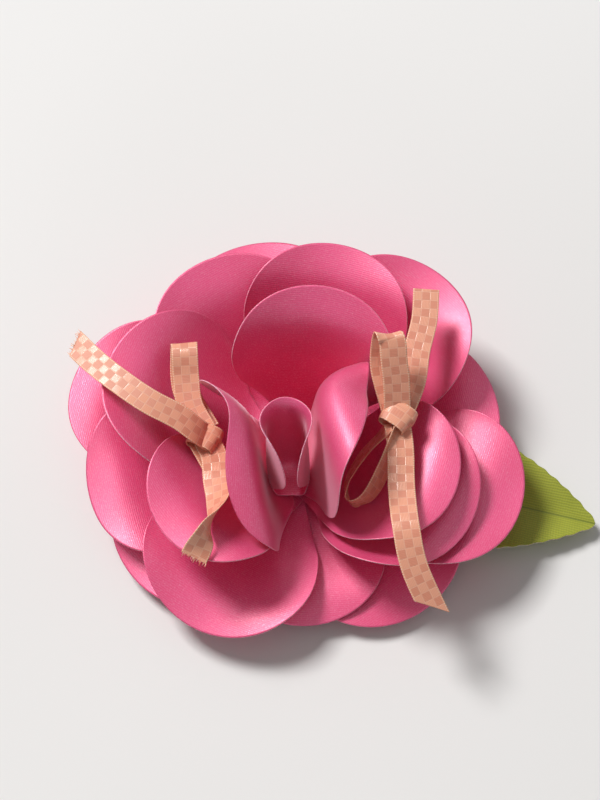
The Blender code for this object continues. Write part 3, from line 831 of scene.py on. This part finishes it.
def knot_band(name, centre, turn, material):
    """The ribbon wrapped round the middle of a bow, its edges pulled in and one turn lapped over another."""
    mesh, across, along = grid_mesh(KNOT_COLUMNS, KNOT_ROWS)
    angle = 2 * math.pi * along
    lap = np.clip((across - KNOT_WANDER * np.sin(angle)) / KNOT_LAP_RUN, 0, 1)
    round_it = 1 - KNOT_PINCH * across ** 2 - KNOT_LAP * (1 - lap)
    out, up = (np.sign(way) * np.abs(way) ** KNOT_SQUARE for way in (np.cos(angle), np.sin(angle)))
    x = KNOT_SIZE[0] * out * round_it
    y = KNOT_SIZE[1] * across
    z = KNOT_SIZE[2] * up * round_it
    for vertex, place in zip(mesh.verts, np.stack([x, y, z], 1)):
        vertex.co = place * MM
    lay_flat_map(mesh, np.stack([(across + 1) * RIBBON_HALF, along * KNOT_GIRTH], 1))
    bmesh.ops.remove_doubles(mesh, verts=mesh.verts, dist=SAME_POINT * MM)
    bmesh.ops.recalc_face_normals(mesh, faces=mesh.faces)
    bmesh.ops.rotate(mesh, verts=mesh.verts, matrix=Matrix.Rotation(math.radians(turn), 3, "Z"))
    bmesh.ops.translate(mesh, verts=mesh.verts, vec=[value * MM for value in centre])
    item = link_piece(name, mesh, [material])
    thicken(item, RIBBON, 0)
    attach(item, "root")
    return item


def build_bow(side, bow, material):
    """A bow tied from one length of ribbon, with the wrap that binds it."""
    whole = bmesh.new()
    dice = np.random.default_rng(FRAY_SEED)
    for part, controls in bow["strips"].items():
        slant = bow["slants"].get(part, 0)
        mesh, length = ribbon_strip(controls, slant)
        pieces = [mesh]
        if part in bow["frays"]:
            pieces.append(frayed_end(controls, slant, dice))
        for piece in pieces:
            strip = bpy.data.meshes.new("strip")
            piece.to_mesh(strip)
            piece.free()
            whole.from_mesh(strip)
            bpy.data.meshes.remove(strip)
    item = link_piece(f"bow_ribbon_{side}", whole, [material])
    thicken(item, RIBBON, 0)
    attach(item, "root")
    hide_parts(f"ribbon_bow_{side}")
    band = knot_band(f"bow_wrap_{side}", bow["knot"], bow["knot_turn"], material)


def seen_directly(tree):
    """1 for what the camera sees, also in a gloss or through glass, and 0 for light on the object."""
    path = node(tree, "ShaderNodeLightPath").outputs
    seen = worked(tree, "MAXIMUM", path["Is Camera Ray"], path["Is Glossy Ray"])
    return worked(tree, "MAXIMUM", seen, path["Is Transmission Ray"])


def build_floor():
    """A plain pale floor with the object's soft shadow on it, which runs out into the backdrop."""
    mesh = bmesh.new()
    bmesh.ops.create_circle(mesh, cap_ends=True, segments=FLOOR_SIDES, radius=FLOOR_RADIUS)
    made, tree, shader = new_material("pale_floor")
    place = node(tree, "ShaderNodeTexCoord").outputs["Object"]
    drift = noise(tree, place, FLOOR_CLOUD, detail=2.0)
    fill(tree, shader, {"Base Color": clouded(tree, drift, FLOOR_DEEP, FLOOR_PALE), "Roughness": 0.9})
    away = node(tree, "ShaderNodeVectorMath", {0: place}, operation="LENGTH").outputs["Value"]
    share = worked(tree, "MULTIPLY", between(tree, away, FADE_FROM, FADE_TO), seen_directly(tree))
    backdrop = node(tree, "ShaderNodeEmission", {"Color": linear("#ffffff"), "Strength": BACKDROP})
    both = node(tree, "ShaderNodeMixShader", {0: share, 1: shader.outputs["BSDF"],
                                              2: backdrop.outputs["Emission"]})
    fill(tree, tree.nodes["Material Output"], {"Surface": both.outputs["Shader"]})
    floor = link_piece("floor", mesh, [made])


def light_room():
    """Soft even light from all round, and one large soft lamp from behind on the left."""
    world = bpy.data.worlds.new("studio")
    bpy.context.scene.world = world
    world.use_nodes = True
    tree = world.node_tree
    inputs = {"Value": seen_directly(tree), "To Min": ROOM_LIGHT, "To Max": BACKDROP}
    strength = node(tree, "ShaderNodeMapRange", inputs).outputs["Result"]
    fill(tree, tree.nodes["Background"], {"Strength": strength, "Color": linear("#ffffff")})
    lamp = bpy.data.lights.new("softbox", "AREA")
    lamp.size = LAMP_SIZE
    lamp.energy = LAMP_POWER
    item = bpy.data.objects.new("softbox", lamp)
    bpy.context.scene.collection.objects.link(item)
    item.location = LAMP_PLACE
    item.rotation_euler = (Vector(AIM) - Vector(LAMP_PLACE)).to_track_quat("-Z", "Y").to_euler()


def place_camera():
    """The camera stands where the photographer did, and looks down at the flower."""
    camera = bpy.data.objects.new("camera", bpy.data.cameras.new("camera"))
    bpy.context.scene.collection.objects.link(camera)
    down = math.radians(LOOK_DOWN)
    back = Vector((0, -math.cos(down), math.sin(down)))
    camera.location = Vector(AIM) + back * DISTANCE
    camera.rotation_euler = (-back).to_track_quat("-Z", "Y").to_euler()
    camera.data.lens = LENS
    camera.data.clip_start = NEAREST
    bpy.context.scene.camera = camera


bpy.context.scene.view_settings.view_transform = "Standard"
place_camera()
light_room()
build_floor()
build_card()
satin = checked_satin()
build_bow("left", LEFT_BOW, satin)
build_bow("right", RIGHT_BOW, satin)
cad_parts["base_card"].material_slots[0].material = base_finish()
